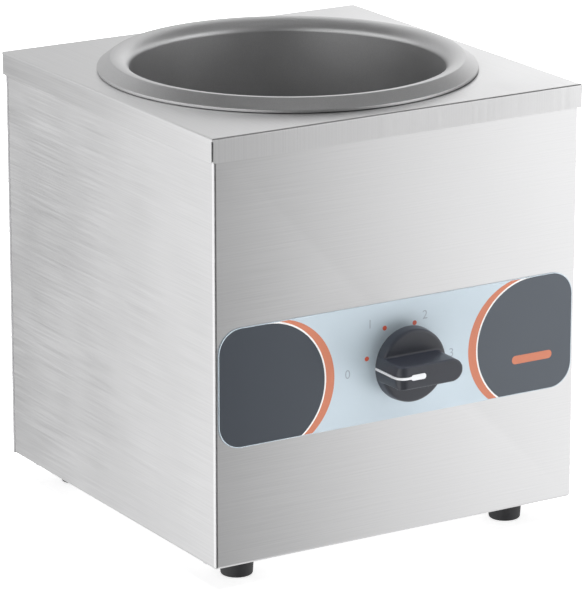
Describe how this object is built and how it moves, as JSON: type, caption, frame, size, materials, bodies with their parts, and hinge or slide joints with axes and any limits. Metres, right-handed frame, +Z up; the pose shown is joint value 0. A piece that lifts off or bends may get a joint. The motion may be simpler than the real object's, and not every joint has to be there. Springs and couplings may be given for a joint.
{
  "type": "countertop round well food warmer",
  "caption": "Square stainless countertop warmer with a round heated well under a raised rim, a front thermostat dial with a bar knob, and rubber feet.",
  "frame": {"origin": "on the surface the feet stand on, under the middle of the object's box", "axes": "+Z up, -Y out of the front with the dial, +X to the right seen from the front"},
  "size_m": [0.216, 0.249, 0.2392],
  "materials": {
    "stainless_body": "horizontal brushed grain, satin",
    "stainless_lid": "fine brushed grain, satin",
    "well_metal": "matte grey, fine blasted finish",
    "heater_sheath": "dull mica-clad steel",
    "glass_fibre": "matte fibre blanket",
    "ceramic": "unglazed ceramic look",
    "overlay_film": "fine matte polyester film",
    "control_plastic": "moulded, fine matte",
    "knob_plastic": "moulded, soft satin",
    "pointer_white": "smooth satin",
    "foot_rubber": "matte moulded rubber",
    "zinc_plate": "bright zinc plate",
    "ground_green": "green passivated zinc",
    "terminal_plastic": "moulded nylon",
    "wire_black": "silicone sleeve",
    "wire_red": "silicone sleeve",
    "wire_white": "silicone sleeve",
    "wire_blue": "silicone sleeve"
  },
  "bodies": {
    "cabinet": {"well": "well_metal", "bottom_pan": "stainless_body", "rear_panel": "stainless_body", "body_wrap": "stainless_body", "top_cover": "stainless_lid", "heater_band": "heater_sheath", "control_overlay": "overlay_film", "cord_gland": "control_plastic", "insulation_wrap": "glass_fibre", "limit_cutout": "ceramic", "foot_front_left": "foot_rubber", "foot_front_right": "foot_rubber", "foot_rear_left": "foot_rubber", "foot_rear_right": "foot_rubber", "wire_line": "wire_black", "wire_heater_feed": "wire_red", "wire_heater_return": "wire_white", "wire_neutral": "wire_blue", "thermostat_bracket": "zinc_plate", "pan_screw_front_left": "zinc_plate", "pan_screw_front_right": "zinc_plate", "pan_screw_rear_left": "zinc_plate", "pan_screw_rear_right": "zinc_plate", "rear_screw_upper_left": "zinc_plate", "rear_screw_upper_right": "zinc_plate", "rear_screw_lower_left": "zinc_plate", "rear_screw_lower_right": "zinc_plate", "foot_screw_front_left": "zinc_plate", "foot_screw_front_right": "zinc_plate", "foot_screw_rear_left": "zinc_plate", "foot_screw_rear_right": "zinc_plate", "heater_band_bolt": "zinc_plate", "bracket_screw_left": "zinc_plate", "bracket_screw_right": "zinc_plate", "ground_screw": "ground_green", "thermostat_housing": "control_plastic", "rating_plate": "zinc_plate", "gland_nut": "control_plastic", "terminal_block": "terminal_plastic", "heater_terminal_1": "zinc_plate", "heater_terminal_2": "zinc_plate", "well_hanger_1": "zinc_plate", "well_hanger_2": "zinc_plate", "well_hanger_3": "zinc_plate", "well_hanger_4": "zinc_plate", "hanger_nut_1": "zinc_plate", "hanger_nut_2": "zinc_plate", "hanger_nut_3": "zinc_plate", "hanger_nut_4": "zinc_plate", "thermostat_tab_left": "zinc_plate", "thermostat_tab_right": "zinc_plate", "block_screw_1": "zinc_plate", "block_screw_2": "zinc_plate"},
    "dial": {"knob": "knob_plastic", "knob_pointer": "pointer_white", "knob_clip": "zinc_plate", "thermostat_shaft": "zinc_plate"}
  },
  "joints": [
    {"name": "dial_turn", "type": "hinge", "parent": "cabinet", "child": "dial", "pos_m": [0, -0.09367, 0.1053], "axis": [0, 1, 0], "range_deg": [0, 170]}
  ]
}
